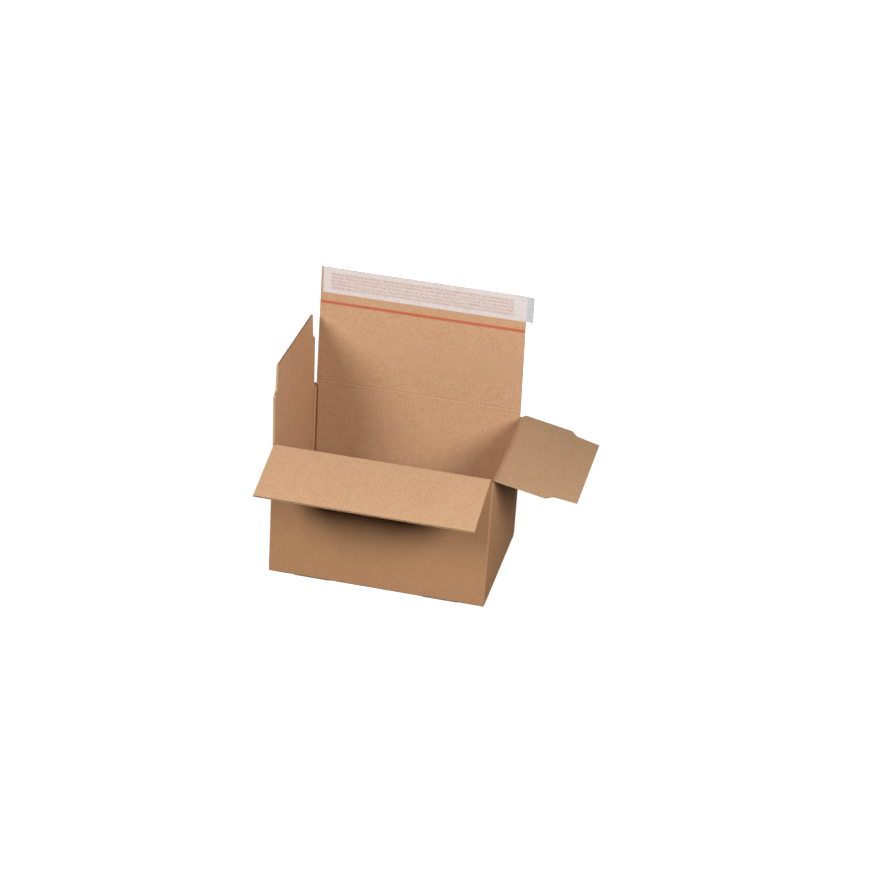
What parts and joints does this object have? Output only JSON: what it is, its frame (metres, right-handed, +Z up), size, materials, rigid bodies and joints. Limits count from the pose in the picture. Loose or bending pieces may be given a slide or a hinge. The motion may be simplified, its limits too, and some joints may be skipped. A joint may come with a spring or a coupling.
{
  "type": "corrugated mailer box",
  "caption": "Open corrugated mailer box with a glued bottom, hinged lid and flaps, a release liner over an adhesive closure, and a tear strip.",
  "frame": {"origin": "middle of the underside, on the surface that the box stands on", "axes": "+Z up, +X to the right as seen from the front, +Y from the front wall to the back wall that carries the lid"},
  "size_m": [0.4395, 0.3203, 0.3949],
  "materials": {
    "kraft_board": "matte",
    "adhesive": "satin",
    "liner": "satin",
    "tear_tape": "satin"
  },
  "bodies": {
    "box": {"body": "kraft_board"},
    "lid": {"lid_flap": "kraft_board", "adhesive_strip": "adhesive", "release_liner": "liner", "tear_strip": "tear_tape"},
    "front": {"front_flap": "kraft_board"},
    "right": {"right_flap": "kraft_board"},
    "left": {"left_flap": "kraft_board"}
  },
  "joints": [
    {"name": "lid_hinge", "type": "hinge", "parent": "box", "child": "lid", "pos_m": [0, 0.108, 0.211], "axis": [-1, 0, 0], "range_deg": [-88.5, 161.5]},
    {"name": "front_flap_hinge", "type": "hinge", "parent": "box", "child": "front", "pos_m": [0, -0.108, 0.2073], "axis": [1, 0, 0], "range_deg": [-197, 63]},
    {"name": "right_flap_hinge", "type": "hinge", "parent": "box", "child": "right", "pos_m": [0.16, 0, 0.204], "axis": [0, 1, 0], "range_deg": [-191, 69]},
    {"name": "left_flap_hinge", "type": "hinge", "parent": "box", "child": "left", "pos_m": [-0.16, 0, 0.204], "axis": [0, -1, 0], "range_deg": [-91, 169]}
  ]
}
